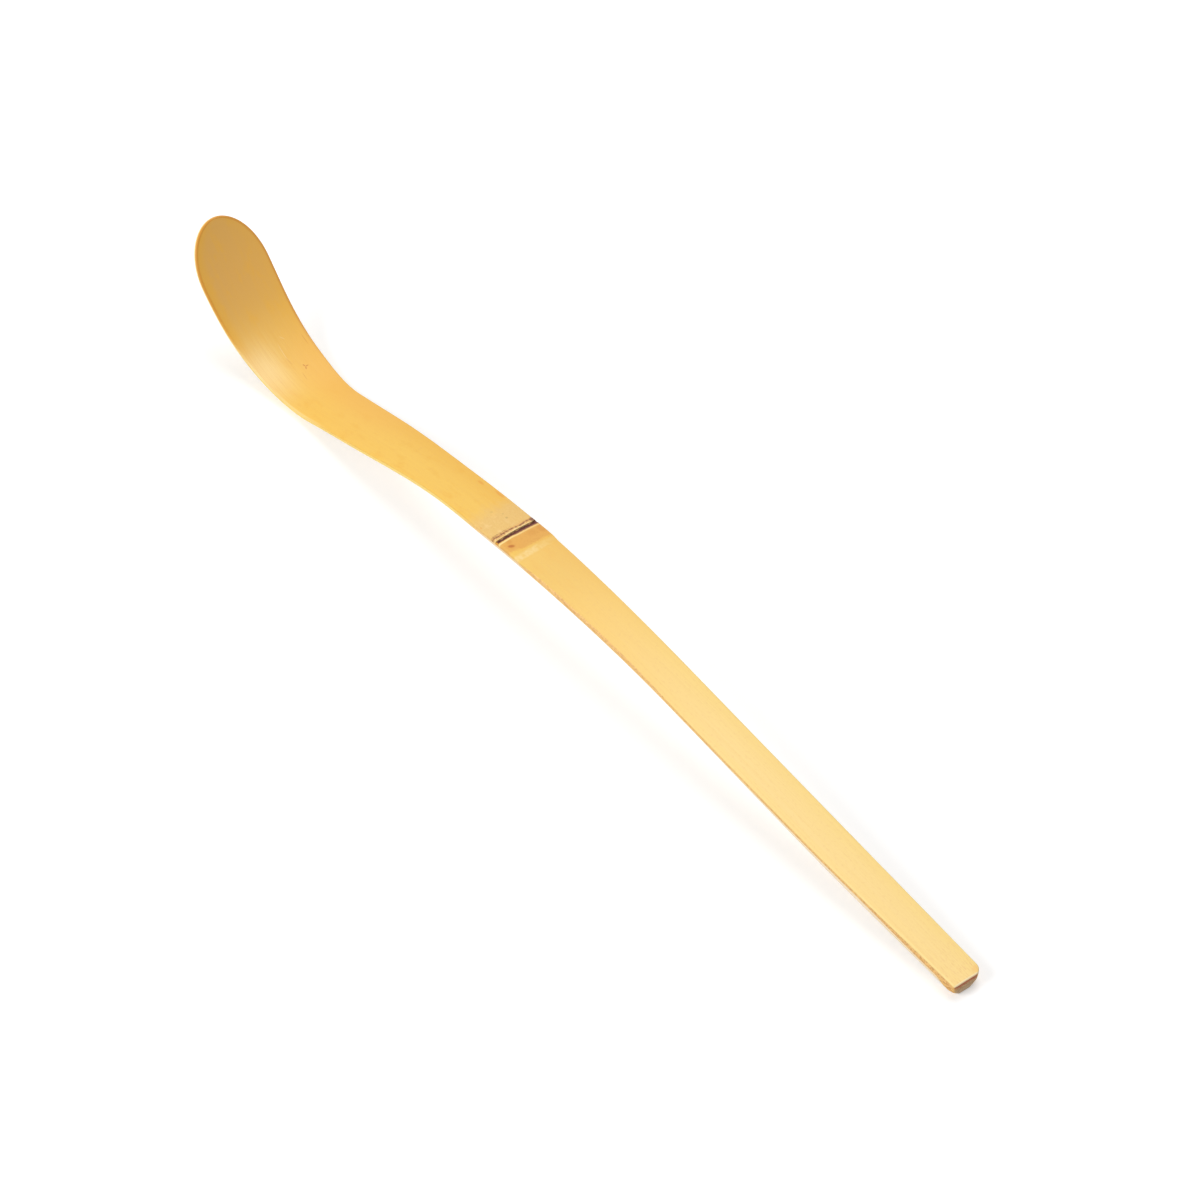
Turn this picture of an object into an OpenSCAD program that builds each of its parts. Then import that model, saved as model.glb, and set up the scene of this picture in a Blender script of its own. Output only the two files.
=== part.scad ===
// Chashaku, a bamboo tea scoop.
// One strip is split from the wall of a bamboo culm, bent over heat and whittled to shape.
// The culm's hard skin faces up, and the softer wood under it is shaved to a steep flank, a bevel
// and a flat.
// The scoop lies as on a table, with its tip towards -X and its butt towards +X, and touches
// the table under the bend and along the lower edge of the butt.
// A station is a distance along the middle of the skin, counted from the butt.

/* [Strip from butt to tip] */
// Length of the straight grip
grip_length = 62; // [50:1:80]
// Length of the arch from the grip to its crown
rise_length = 31; // [24:1:45]
// Angle that the strip turns down through from the grip to the crown
rise_angle = 6.5; // [4:0.1:9]
// Length of the arch from its crown to the waist
fall_length = 41.5; // [30:0.5:55]
// Angle that the strip turns down through from the crown to the waist
fall_angle = 13.7; // [9:0.1:18]
// Length of the straight waist between the arch and the bend
waist_length = 12; // [6:1:25]
// Length of the heat-bent stretch
bend_length = 22; // [18:1:32]
// Angle that the strip turns up through in the bend
bend_angle = 57.5; // [45:0.5:62]
// Length of the scoop beyond the bend
scoop_length = 14.5; // [10:0.5:20]
// Angle that the scoop goes on turning up through
scoop_angle = 14.5; // [0:0.5:22]

/* [Widths] */
// Width across the butt
butt_width = 5.2; // [4.4:0.1:6]
// Width where the grip meets the arch
grip_width = 6; // [5.5:0.1:6.6]
// Width that the side at -Y adds halfway along the grip
grip_bulge = 0.6; // [0:0.1:0.8]
// Width across the node
node_width = 7.4; // [6.6:0.1:8.4]
// Width a third of the way from the node to the bend, where the strip is still slim
slim_width = 7.6; // [7:0.1:8.5]
// Width that the side at -Y loses there
slim_hollow = 0.2; // [0:0.1:0.4]
// Width where the arch meets the waist
waist_width = 8.9; // [8.2:0.1:9.2]
// Width where the bend begins
neck_width = 9.4; // [8.8:0.1:10]
// Width at the middle of the bend
bend_width = 10.8; // [10.1:0.1:11.4]
// Greatest width of the scoop
scoop_width = 12.2; // [11.5:0.1:14]
// Length of the rounded end of the scoop
tip_round = 9; // [7:0.5:10]
// Radius of the butt's corner at -Y
near_corner = 0.3; // [0.2:0.1:0.6]
// Radius of the butt's corner at +Y, which is whittled rounder
far_corner = 1.5; // [0.8:0.1:1.8]

/* [Thicknesses] */
// Thickness of the grip
grip_thickness = 2.4; // [2.3:0.1:3]
// Thickness where the bend begins
neck_thickness = 1.5; // [1.2:0.1:1.8]
// Thickness at the tip of the scoop
tip_thickness = 0.9; // [0.8:0.05:1.1]
// Thickness of the hard outer skin
skin_thickness = 0.4; // [0.3:0.05:0.45]
// Height of the upright side wall at the butt
butt_wall = 1.05; // [0.8:0.05:1.1]
// Height of the upright side wall where the grip meets the arch
grip_wall = 0.7; // [0.6:0.05:0.9]
// Height of the upright side wall at the node
node_wall = 0.8; // [0.65:0.05:0.95]
// Height of the upright rim of the scoop
rim_wall = 0.5; // [0.5:0.05:0.6]
// Height of the steep flank under the side wall at the butt
butt_flank = 1.1; // [0.6:0.05:1.15]
// Height of the flank where the grip meets the arch
grip_flank = 0.25; // [0.15:0.05:0.5]
// Height of the flank at the node and on to the tip
scoop_flank = 0.1; // [0.05:0.01:0.15]
// Angle by which the flank leans in from upright
flank_lean = 11; // [5:1:20]

/* [Cross-section] */
// Radius of the culm that the strip is split from
culm_radius = 36; // [30:1:60]
// Rise of the long edges of the scoop above its middle
dish_depth = 0.3; // [0:0.05:0.8]
// Rounding of the upper edges
arris_radius = 0.2; // [0.1:0.05:0.25]

/* [Node] */
// Distance of the sheath scar from the crown of the arch, towards the tip
node_distance = 7.7; // [6:0.1:14]
// Width of the scar that the fallen sheath left
scar_width = 0.65; // [0.3:0.05:0.8]
// Depth of the scar below the skin
scar_depth = 0.15; // [0.05:0.05:0.2]
// Height of the frayed rim of the sheath, on the scoop's side of the scar
rim_height = 0.1; // [0:0.05:0.2]
// Length over which that rim rises
rim_length = 1.5; // [1:0.5:3]
// Length of the band between the scar and the skin of the handle
band_length = 5; // [4.5:0.5:7]
// Height of the ridge that crosses the band
ridge_height = 0.2; // [0.1:0.05:0.5]
// Distance of the ridge's crest from the scar
ridge_distance = 3.4; // [2.5:0.1:3.8]
// Height of the band's edge beside the scar
band_edge = 0.12; // [0.05:0.01:0.2]

/* [Hidden] */

// The strip's line is a chain of straights and arcs: [length, angle turned up].
SEGMENTS = [
    [grip_length, 0],
    [rise_length, -rise_angle],
    [fall_length, -fall_angle],
    [waist_length, 0],
    [bend_length, bend_angle],
    [scoop_length, scoop_angle]
];
crown_place = grip_length + rise_length;
waist_place = crown_place + fall_length;
neck_place = waist_place + waist_length;
bend_middle = neck_place + bend_length / 2;
strip_length = neck_place + bend_length + scoop_length;
widest_place = strip_length - tip_round;
scar_place = crown_place + node_distance;
scar_end = scar_place + scar_width;
rim_end = scar_end + rim_length;
band_start = scar_place - band_length;
ridge_place = scar_place - ridge_distance;
slim_place = scar_place + (neck_place - scar_place) / 3;
arris_middle = arris_radius * (1 - sqrt(0.5));

// Each table holds [station, value], and smooth_at() draws one curve through it.
WIDTHS = [
    [0, butt_width],
    [grip_length, grip_width],
    [scar_place, node_width],
    [slim_place, slim_width],
    [waist_place, waist_width],
    [neck_place, neck_width],
    [bend_middle, bend_width],
    [widest_place, scoop_width]
];
THICKNESSES = [
    [0, grip_thickness],
    [grip_length, grip_thickness],
    [neck_place, neck_thickness],
    [strip_length, tip_thickness]
];
BULGES = [
    [0, 0],
    [grip_length / 2, grip_bulge],
    [scar_place, 0],
    [rim_end, 0],
    [slim_place, -slim_hollow],
    [waist_place, 0],
    [strip_length, 0]
];
WALLS = [
    [0, butt_wall],
    [grip_length, grip_wall],
    [scar_place, node_wall],
    [neck_place, rim_wall],
    [strip_length, rim_wall]
];
FLANKS = [
    [0, butt_flank],
    [grip_length, grip_flank],
    [scar_place, scoop_flank],
    [strip_length, scoop_flank]
];

// Spacing of the sections on the grip, on the arch and waist, in the bend and at the node
grip_step = 6;
arch_step = 3;
bend_step = 1.4;
node_step = 0.5;
// Sections round a corner of the butt and round the end of the scoop
corner_sections = 5;
tip_sections = 12;
// Shares of the half width at which a section has its upper and its lower points
share_count = 5;
SHARES = [for (i = [0 : share_count - 1]) i / (share_count - 1)];

// Curves

function turned(p, angle) =
    [p.x * cos(angle) - p.y * sin(angle), p.x * sin(angle) + p.y * cos(angle)];

// Point of a segment at a distance from its start, which lies level at [0, 0]
function along(segment, distance) =
    segment[1] == 0
        ? [distance, 0]
        : let (r = segment[0] * 180 / (PI * segment[1]), a = distance / segment[0] * segment[1])
          [r * sin(a), r * (1 - cos(a))];

// [place, angle, station] at the start of a segment
function segment_start(i) =
    i == 0
        ? [[0, 0], 0, 0]
        : let (before = segment_start(i - 1), segment = SEGMENTS[i - 1])
          [
              before[0] + turned(along(segment, segment[0]), before[1]),
              before[1] + segment[1],
              before[2] + segment[0]
          ];

STARTS = [for (i = [0 : len(SEGMENTS) - 1]) segment_start(i)];

// Counts down from entry i to the last entry of a rising list that isn't past the value
function last_not_past(list, value, i) =
    i == 0 || list[i] <= value ? i : last_not_past(list, value, i - 1);

// [place, angle] of the middle of the skin at a station, while the grip is level
function line_at(station) =
    let (
        i = last_not_past([for (start = STARTS) start[2]], station, len(STARTS) - 1),
        start = STARTS[i],
        distance = station - start[2]
    )
    [
        start[0] + turned(along(SEGMENTS[i], distance), start[1]),
        start[1] + distance / SEGMENTS[i][0] * SEGMENTS[i][1]
    ];

function slope_between(a, b) = (b[1] - a[1]) / (b[0] - a[0]);

// Slope of a table's curve at an inner entry: the harmonic mean, so that the curve never overshoots
function inner_slope(before, after) =
    before * after <= 0 ? 0 : 2 * before * after / (before + after);

function slope_at(table, i) =
    i == len(table) - 1
        ? 0
        : let (after = slope_between(table[i], table[i + 1]))
          i == 0 ? after : inner_slope(slope_between(table[i - 1], table[i]), after);

function smooth_at(table, station) =
    let (
        i = last_not_past([for (entry = table) entry[0]], station, len(table) - 2),
        span = table[i + 1][0] - table[i][0],
        t = min((station - table[i][0]) / span, 1)
    )
    table[i][1] * (2 * t ^ 3 - 3 * t ^ 2 + 1)
    + slope_at(table, i) * span * (t ^ 3 - 2 * t ^ 2 + t)
    + table[i + 1][1] * (3 * t ^ 2 - 2 * t ^ 3)
    + slope_at(table, i + 1) * span * (t ^ 3 - t ^ 2);

// Rises smoothly from 0 to 1 between two stations
function ramp(from, to, station) =
    let (t = max(0, min(1, (station - from) / (to - from))))
    t * t * (3 - 2 * t);

// A section keeps at least this share of its half width, however far an edge is shaved in
least_share = 0.1;

// Share by which a section has turned from the handle's form to the scoop's
function scooped(station) = ramp(neck_place, bend_middle, station);

// Height across the strip: the culm's own round on the handle, and a shallow dish on the scoop
function culm_form(station, y) =
    let (culm_sag = scoop_width ^ 2 / (8 * culm_radius))
    scooped(station) * (dish_depth + culm_sag) * (2 * y / scoop_width) ^ 2
    - y ^ 2 / (2 * culm_radius);

// Heights that the node adds to the skin
function rim_rise(station) = rim_height * (1 - ramp(scar_end, rim_end, station));
function band_rise(station) =
    station < ridge_place
        ? ridge_height * ramp(band_start, ridge_place, station)
        : ridge_height - (ridge_height - band_edge) * ramp(ridge_place, scar_place, station);

// Sections

// A section is [station, half widths at +Y and at -Y, outward direction of the outline in plan].
function side_section(station) =
    let (half = smooth_at(WIDTHS, station) / 2)
    [station, [half, half + smooth_at(BULGES, station)], [0, 1]];

// Width that a rounded corner takes from one side at a distance from the end of the butt
function corner_cut(radius, distance) =
    radius - sqrt(radius ^ 2 - max(0, radius - distance) ^ 2);

function corner_section(i) =
    let (
        station = far_corner * (1 - sin(90 * i / corner_sections)),
        beside = side_section(station),
        cuts = [corner_cut(far_corner, station), corner_cut(near_corner, station)]
    )
    [station, beside[1] - cuts, beside[2]];

function tip_section(i) =
    let (
        a = 90 * i / tip_sections,
        side = scoop_width / 2,
        half = side * (i == tip_sections ? 0 : cos(a)),
        outward = [side * sin(a), tip_round * cos(a)]
    )
    [widest_place + tip_round * sin(a), [half, half], outward / norm(outward)];

// Sections from one station up to another, without the last
function spread(from, to, step) =
    let (count = ceil((to - from) / step))
    [for (i = [0 : count - 1]) side_section(from + (to - from) * i / count)];

HANDLE_SECTIONS = concat(
    [for (i = [corner_sections : -1 : 1]) corner_section(i)],
    spread(far_corner, grip_length, grip_step),
    spread(grip_length, band_start, arch_step)
);
BAND_SECTIONS = concat(
    spread(band_start, ridge_place, node_step),
    spread(ridge_place, scar_place, node_step)
);
SCOOP_SECTIONS = concat(
    spread(scar_end, rim_end, node_step),
    spread(rim_end, waist_place, arch_step),
    spread(waist_place, neck_place, arch_step),
    spread(neck_place, widest_place, bend_step),
    [for (i = [0 : tip_sections]) tip_section(i)]
);
scar_section = side_section(scar_place);
butt_section = HANDLE_SECTIONS[0];
tip_end_section = SCOOP_SECTIONS[len(SCOOP_SECTIONS) - 1];

// A lane is [share of the half width, inset from the outline, depth, share of the form that
// it follows]. Lanes run from the middle of a layer's upper face, over its edge, to the middle
// of its lower face, and the other half of the section mirrors them.
function reversed(list) = [for (i = [len(list) - 1 : -1 : 0]) list[i]];
function face_lanes(inset, depth, follow) = [for (share = SHARES) [share, inset, depth, follow]];

INTERFACE_LANES = face_lanes(0, skin_thickness, 1);

// The skin's upper edge is rounded.
function skin_lanes(rise) = concat(
    face_lanes(arris_radius, -rise, 1),
    [[1, arris_middle, arris_middle - rise, 1], [1, 0, arris_radius - rise, 1]],
    reversed(INTERFACE_LANES)
);

SCAR_LANES = concat(face_lanes(0, scar_depth, 1), reversed(INTERFACE_LANES));

// The flesh has an upright wall, a steep flank, a bevel at 45 degrees and a flat underside,
// which turns into an even thickness under the scoop.
function flesh_lanes(station) =
    let (
        wall = smooth_at(WALLS, station),
        flank = smooth_at(FLANKS, station),
        whole = smooth_at(THICKNESSES, station),
        flank_inset = flank * tan(flank_lean),
        bevel = whole - wall - flank
    )
    concat(
        INTERFACE_LANES,
        [[1, 0, wall, 1], [1, flank_inset, wall + flank, 1]],
        reversed(face_lanes(flank_inset + bevel, whole, scooped(station)))
    );

// Placing

// A lane's point on a section, as [along, across, up] while the grip is level
function level_point(section, lane, side) =
    let (
        station = section[0] - lane[1] * section[2].x,
        half = section[1][side > 0 ? 0 : 1],
        y = lane[0] * max(least_share * half, half - lane[1] * section[2].y),
        line = line_at(station),
        up = turned([0, lane[3] * culm_form(station, y) - lane[2]], line[1])
    )
    [line[0].x + up.x, side * y, line[0].y + up.y];

// Points of the underside of a section, as [along, up], from its bevel to its middle
function underside(section) =
    let (lanes = flesh_lanes(section[0]))
    [
        for (i = [len(lanes) - share_count : len(lanes) - 1])
            let (p = level_point(section, lanes[i], 1))
            [p.x, p.z]
    ];

// The strip turns about the lower edge of the butt until the bend touches the table too.
butt_foot = underside(butt_section)[0];
rest_angle = min([
    for (section = SCOOP_SECTIONS, p = underside(section))
        let (step = p - butt_foot)
        atan2(step.y, step.x)
]);

function rested(p) =
    let (q = turned([p.x, p.z] - butt_foot, -rest_angle))
    [-q.x, p.y, q.y];

function reaches(section) =
    [for (lane = concat(skin_lanes(0), flesh_lanes(section[0]))) rested(level_point(section, lane, 1)).x];

middle_x = (max(reaches(butt_section)) + min(reaches(tip_end_section))) / 2;

function placed(p) = rested(p) - [middle_x, 0, 0];

// Solids

// Number of a lane's corner on a row. Corners go round each row, right half first.
function corner(row, lane, side, lanes) =
    let (round = 2 * (lanes - 1))
    row * round + (side > 0 ? lane : (round - lane) % round);

// On the pointed row the two halves meet, and each face shrinks to one corner.
function point_corner(row, lane, lanes) =
    corner(row, lane < share_count ? 0 : lane >= lanes - share_count ? lanes - 1 : lane, 1, lanes);

function distinct(face) = face[0] != face[1] && face[1] != face[2] && face[2] != face[0];
function flipped(face) = [face[2], face[1], face[0]];

// Lofts one layer through its sections, with one list of lanes for each. Every quad is cut
// from its outer corner on the near row, so a skin and the flesh under it share triangles.
module layer(sections, lane_lists) {
    lanes = len(lane_lists[0]);
    round = 2 * (lanes - 1);
    last = len(sections) - 1;
    pointed = sections[last][1][0] == 0;
    points = [
        for (row = [0 : last])
            for (i = [0 : round - 1])
                placed(level_point(
                    sections[row],
                    lane_lists[row][i < lanes ? i : round - i],
                    i < lanes ? 1 : -1
                ))
    ];
    walls = [
        for (row = [0 : last - 1], lane = [0 : lanes - 2], side = [1, -1])
            let (
                to_point = pointed && row == last - 1,
                near = corner(row, lane, side, lanes),
                near_next = corner(row, lane + 1, side, lanes),
                far = to_point
                    ? point_corner(last, lane, lanes)
                    : corner(row + 1, lane, side, lanes),
                far_next = to_point
                    ? point_corner(last, lane + 1, lanes)
                    : corner(row + 1, lane + 1, side, lanes),
                on_top = lane < share_count - 1,
                pair = on_top
                    ? [[near, far, near_next], [near_next, far, far_next]]
                    : [[near, far, far_next], [near, far_next, near_next]]
            )
            for (face = pair)
                if (distinct(face)) side > 0 ? face : flipped(face)
    ];
    near_end = [for (i = [0 : round - 1]) i];
    far_end = [for (i = [round - 1 : -1 : 0]) last * round + i];
    polyhedron(points, concat(walls, [near_end], pointed ? [] : [far_end]), convexity = 8);
}

module skin_layer(sections, rises) {
    layer(sections, [for (rise = rises) skin_lanes(rise)]);
}

// The culm's two internodes have straight fibres, and the fibres of its node cross between them.
module flesh_layer(sections) {
    layer(sections, [for (section = sections) flesh_lanes(section[0])]);
}

module handle_flesh() {
    color("#e8b878") flesh_layer(concat(HANDLE_SECTIONS, [BAND_SECTIONS[0]]));
}

module node_flesh() {
    color("#d9a25e") flesh_layer(concat(BAND_SECTIONS, [scar_section, SCOOP_SECTIONS[0]]));
}

module scoop_flesh() {
    color("#e8b878") flesh_layer(SCOOP_SECTIONS);
}

module handle_skin() {
    sections = concat(HANDLE_SECTIONS, [BAND_SECTIONS[0]]);
    color("#fbd98e") skin_layer(sections, [for (section = sections) 0]);
}

module node_band() {
    sections = concat(BAND_SECTIONS, [scar_section]);
    color("#eab063") skin_layer(sections, [for (section = sections) band_rise(section[0])]);
}

module sheath_scar() {
    color("#64382f") layer([scar_section, SCOOP_SECTIONS[0]], [SCAR_LANES, SCAR_LANES]);
}

module scoop_skin() {
    color("#f0c36c") skin_layer(SCOOP_SECTIONS, [for (section = SCOOP_SECTIONS) rim_rise(section[0])]);
}

handle_flesh();
node_flesh();
scoop_flesh();
handle_skin();
node_band();
sheath_scar();
scoop_skin();
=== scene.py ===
# %% [markdown]
# # A chashaku, the bamboo scoop for powdered tea
# The scoop is one strip of bamboo. It is split from the wall of a culm, bent over heat and
# whittled. Its hard skin faces up, and the softer flesh under the skin shows on its sides, on its
# underside and at the cut butt. A node crosses it near the middle: a band of knotty tissue, the
# dark scar of the sheath that fell off, and the skin of the next internode.
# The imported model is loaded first. Everything after it is built in the same frame, in metres.

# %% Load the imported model
import bpy
import math
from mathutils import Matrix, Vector


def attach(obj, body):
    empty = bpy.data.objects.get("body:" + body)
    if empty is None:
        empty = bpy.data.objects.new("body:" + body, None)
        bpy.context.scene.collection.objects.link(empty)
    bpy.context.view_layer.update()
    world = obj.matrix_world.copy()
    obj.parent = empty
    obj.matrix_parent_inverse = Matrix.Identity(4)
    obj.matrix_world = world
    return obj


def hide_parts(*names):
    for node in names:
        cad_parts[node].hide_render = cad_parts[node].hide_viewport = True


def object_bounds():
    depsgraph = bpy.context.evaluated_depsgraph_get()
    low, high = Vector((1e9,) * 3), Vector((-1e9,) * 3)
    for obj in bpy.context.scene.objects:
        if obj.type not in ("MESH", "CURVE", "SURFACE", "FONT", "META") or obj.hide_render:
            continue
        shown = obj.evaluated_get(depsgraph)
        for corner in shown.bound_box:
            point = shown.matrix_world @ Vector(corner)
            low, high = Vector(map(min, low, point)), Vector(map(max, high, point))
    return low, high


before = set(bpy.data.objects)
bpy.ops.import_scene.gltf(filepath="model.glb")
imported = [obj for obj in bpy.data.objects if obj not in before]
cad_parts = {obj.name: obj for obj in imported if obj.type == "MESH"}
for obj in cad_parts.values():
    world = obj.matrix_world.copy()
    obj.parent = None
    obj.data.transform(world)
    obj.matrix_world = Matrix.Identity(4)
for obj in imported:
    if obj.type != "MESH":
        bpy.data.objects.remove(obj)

cad_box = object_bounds()
print("nodes:", sorted(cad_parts))
print("box in mm:", [[round(c * 1000, 2) for c in corner] for corner in cad_box])

# %% [markdown]
# ## The camera
# The photograph looks down at about 45 degrees, from the butt's end and from the near side. A
# camera is easiest to place by its direction: from the point it looks at, go back along the view.
# A long lens, far away, keeps the strip from tapering with distance.

# %% Camera
view_height = 45.20
view_turn = -38.21
view_distance = 0.9002
focal_length, sensor_width = 187.97, 36
shift_right, shift_up = 0.0234, -0.0073
looked_at = Vector((0, 0, 0.008))
e, a = math.radians(view_height), math.radians(view_turn)
to_camera = Vector((math.cos(e) * math.cos(a), math.cos(e) * math.sin(a), math.sin(e)))
camera_data = bpy.data.cameras.new("Camera")
camera_data.lens, camera_data.sensor_width = focal_length, sensor_width
camera_data.shift_x, camera_data.shift_y = shift_right, shift_up
camera_data.clip_end = 10
camera = bpy.data.objects.new("Camera", camera_data)
camera.location = looked_at + view_distance * to_camera
camera.rotation_euler = to_camera.to_track_quat("Z", "Y").to_euler()
bpy.context.scene.collection.objects.link(camera)
bpy.context.scene.camera = camera
print("camera at", [round(c, 4) for c in camera.location])

# %% [markdown]
# ## Writing node trees as Python
# Shader trees and geometry trees are wired in the same way. A small class wraps one socket, and
# its operators add Math nodes, so a formula reads as it would on paper. Any other node comes from
# one method, which takes the node's type, its settings and the values or links of its sockets.

# %% A wire and a bench to solder it on
class Wire:
    """One output socket of a node tree. Its operators add Math nodes."""

    def __init__(self, bench, socket):
        self.bench, self.socket = bench, socket

    def sum_up(self, operation, *values):
        node = self.bench.node("ShaderNodeMath", {"operation": operation}, dict(enumerate(values)))
        return node["Value"]

    def __neg__(self): return self.sum_up("MULTIPLY", self, -1)
    def __abs__(self): return self.sum_up("ABSOLUTE", self)
    def __pow__(self, other): return self.sum_up("POWER", self, other)
    def most(self, other): return self.sum_up("MAXIMUM", self, other)
    def over(self, other): return self.sum_up("GREATER_THAN", self, other)

    def smooth(self, start, end, low=0.0, high=1.0):
        """From low to high, in an S, while this value runs from start to end."""
        sockets = {"Value": self, "From Min": start, "From Max": end, "To Min": low, "To Max": high}
        kind = {"interpolation_type": "SMOOTHSTEP"}
        return self.bench.node("ShaderNodeMapRange", kind, sockets)["Result"]

    def between(self, low, high, soft):
        """1 from low to high, with soft ends."""
        return self.smooth(low - soft, low + soft) * self.smooth(high + soft, high - soft)


for sign, name in [("add", "ADD"), ("sub", "SUBTRACT"), ("mul", "MULTIPLY"), ("truediv", "DIVIDE")]:
    setattr(Wire, f"__{sign}__", lambda self, other, o=name: self.sum_up(o, self, other))
    setattr(Wire, f"__r{sign}__", lambda self, other, o=name: self.sum_up(o, other, self))


class Made:
    """A node that was added. Its outputs are picked by name or number."""

    def __init__(self, bench, node):
        self.bench, self.node = bench, node

    def __getitem__(self, key):
        if isinstance(key, int):
            return Wire(self.bench, self.node.outputs[key])
        live = [s for s in self.node.outputs if s.name == key and s.enabled]
        return Wire(self.bench, live[0])


class Bench:
    """A node tree, with the one method that adds any node to it."""

    def __init__(self, tree):
        self.tree = tree

    def node(self, kind, settings=None, sockets=None):
        node = self.tree.nodes.new(kind)
        for name, value in (settings or {}).items():
            setattr(node, name, value)
        for key, value in (sockets or {}).items():
            if isinstance(key, int):
                socket = node.inputs[key]
            else:
                socket = [s for s in node.inputs if s.name == key and s.enabled][0]
            if isinstance(value, Wire):
                self.tree.links.new(value.socket, socket)
            else:
                socket.default_value = value
        return Made(self, node)

    def added(self, one, other):
        return self.node("ShaderNodeVectorMath", {"operation": "ADD"}, {0: one, 1: other})["Vector"]

    def scaled(self, vector, factor):
        sockets = {0: vector, "Scale": factor}
        return self.node("ShaderNodeVectorMath", {"operation": "SCALE"}, sockets)["Vector"]

    def joined(self, x, y, z):
        return self.node("ShaderNodeCombineXYZ", None, {"X": x, "Y": y, "Z": z})["Vector"]


# %% [markdown]
# ## The strip's measures
# These are the driving sizes of the CAD model, in millimetres. A station is a distance along the
# middle of the skin, counted from the butt. Every place on the strip has a station, a distance
# across and a depth below the skin, and building in these three keeps a bent strip simple.

# %% Sizes in millimetres
grip_length, rise_length, fall_length, waist_length = 62, 31, 41.5, 12
bend_length, scoop_length = 22, 14.5
rise_angle, fall_angle, bend_angle, scoop_angle = 6.5, 13.7, 57.5, 14.5
butt_width, grip_width, node_width, slim_width = 5.2, 6, 7.4, 7.6
waist_width, neck_width, bend_width, scoop_width = 8.9, 9.4, 10.8, 12.2
grip_bulge, slim_hollow = 0.6, 0.2
tip_round, near_corner, far_corner = 9, 0.3, 1.5
grip_thickness, neck_thickness, tip_thickness, skin_thickness = 2.4, 1.5, 0.9, 0.4
butt_wall, grip_wall, node_wall, rim_wall = 1.05, 0.7, 0.8, 0.5
butt_flank, grip_flank, scoop_flank, flank_lean = 1.1, 0.25, 0.1, 11
culm_radius, dish_depth = 36, 0.3
node_distance, scar_width, scar_depth = 7.7, 0.65, 0.15
rim_height, rim_length, band_length = 0.1, 1.5, 5
ridge_height, ridge_distance, band_edge = 0.2, 3.4, 0.12

crown_place = grip_length + rise_length
waist_place = crown_place + fall_length
neck_place = waist_place + waist_length
bend_middle = neck_place + bend_length / 2
strip_length = neck_place + bend_length + scoop_length
widest_place = strip_length - tip_round
scar_place = crown_place + node_distance
scar_end = scar_place + scar_width
rim_end = scar_end + rim_length
band_start = scar_place - band_length
ridge_place = scar_place - ridge_distance
slim_place = scar_place + (neck_place - scar_place) / 3
band_border = scar_place - 2.3
print("strip", strip_length, "mm long, with its scar at", scar_place)

# %% [markdown]
# ## Curves through a few sizes
# Widths and thicknesses are known at a few places and run smoothly between them. A cubic through
# each pair of entries, with slopes that are harmonic means, never overshoots. That matters here:
# a bulge between two entries would show as a wave in the long edge of the strip.

# %% Smooth tables
WIDTHS = [
    (0, butt_width), (grip_length, grip_width), (scar_place, node_width), (slim_place, slim_width),
    (waist_place, waist_width), (neck_place, neck_width), (bend_middle, bend_width),
    (widest_place, scoop_width),
]
THICKNESSES = [
    (0, grip_thickness), (grip_length, grip_thickness),
    (neck_place, neck_thickness), (strip_length, tip_thickness),
]
BULGES = [
    (0, 0), (grip_length / 2, grip_bulge), (scar_place, 0), (rim_end, 0),
    (slim_place, -slim_hollow), (waist_place, 0), (strip_length, 0),
]
WALLS = [
    (0, butt_wall), (grip_length, grip_wall), (scar_place, node_wall),
    (neck_place, rim_wall), (strip_length, rim_wall),
]
FLANKS = [
    (0, butt_flank), (grip_length, grip_flank), (scar_place, scoop_flank),
    (strip_length, scoop_flank),
]


def entry_slope(table, i):
    if i == len(table) - 1:
        return 0
    after = (table[i + 1][1] - table[i][1]) / (table[i + 1][0] - table[i][0])
    if i == 0:
        return after
    before = (table[i][1] - table[i - 1][1]) / (table[i][0] - table[i - 1][0])
    return 0 if before * after <= 0 else 2 * before * after / (before + after)


def smooth_at(table, station):
    i = max([n for n in range(len(table) - 1) if table[n][0] <= station] or [0])
    span = table[i + 1][0] - table[i][0]
    t = min((station - table[i][0]) / span, 1)
    return (
        table[i][1] * (2 * t**3 - 3 * t**2 + 1)
        + entry_slope(table, i) * span * (t**3 - 2 * t**2 + t)
        + table[i + 1][1] * (3 * t**2 - 2 * t**3)
        + entry_slope(table, i + 1) * span * (t**3 - t**2)
    )


def ramp(start, end, station):
    t = max(0, min(1, (station - start) / (end - start)))
    return t * t * (3 - 2 * t)


print("width at the node", round(smooth_at(WIDTHS, scar_place), 2), "mm")

# %% [markdown]
# ## The strip's line
# Seen from the side, the strip is a chain of straights and arcs: a straight grip, an arch that
# rises and falls, a straight waist and the heat-bent scoop. Walking along the chain gives the
# place and the slope at any station. Then the whole line is turned until the scoop rests on the
# table, on the underside of its bend and on the lower edge of its butt.

# %% Line from butt to tip
SEGMENTS = [
    (grip_length, 0), (rise_length, -rise_angle), (fall_length, -fall_angle),
    (waist_length, 0), (bend_length, bend_angle), (scoop_length, scoop_angle),
]


def level_line(station):
    """Place and slope while the grip is level."""
    x, z, slope, rest = 0.0, 0.0, 0.0, station
    for n, (length, turn) in enumerate(SEGMENTS):
        part = rest if n == len(SEGMENTS) - 1 else min(rest, length)
        bend = math.radians(turn) * part / length
        chord = part if bend == 0 else part * math.sin(bend / 2) / (bend / 2)
        x += chord * math.cos(slope + bend / 2)
        z += chord * math.sin(slope + bend / 2)
        slope += bend
        rest -= part
        if rest <= 0:
            break
    return x, z, slope


lean = math.radians(flank_lean)
full_dish = dish_depth + scoop_width**2 / (8 * culm_radius)
probe_step, probes_across = 0.25, 4


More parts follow.
